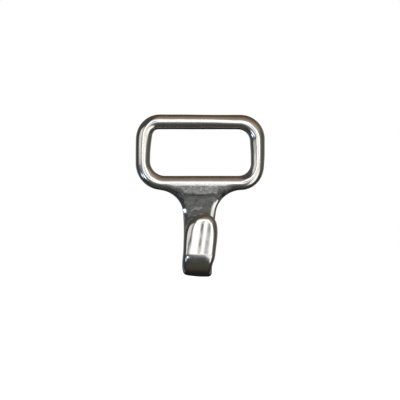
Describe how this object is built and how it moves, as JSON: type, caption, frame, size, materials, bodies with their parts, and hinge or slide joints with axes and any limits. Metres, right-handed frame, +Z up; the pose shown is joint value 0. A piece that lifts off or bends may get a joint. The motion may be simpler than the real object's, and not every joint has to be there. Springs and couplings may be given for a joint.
{
  "type": "webbing strap hook",
  "caption": "Polished metal strap hook: a rectangular loop of round bar for flat webbing, with a flat flared shank bent forward and up into an open J hook.",
  "frame": {"origin": "centre of the loop's top bar, which the strap pulls on", "axes": "+Z up along the pull of the strap, +X right along the top bar, -Y to the front, where the hook opens"},
  "size_m": [0.0336, 0.0122, 0.0422],
  "materials": {
    "polished_steel": "hand-polished, with slight waves and fine scratches",
    "rough_steel": "mottled, matte, not polished"
  },
  "bodies": {
    "root": {"strap_loop": "polished_steel", "hook_blade": "polished_steel", "front_fillet": "rough_steel", "rear_fillet": "rough_steel"}
  },
  "joints": []
}
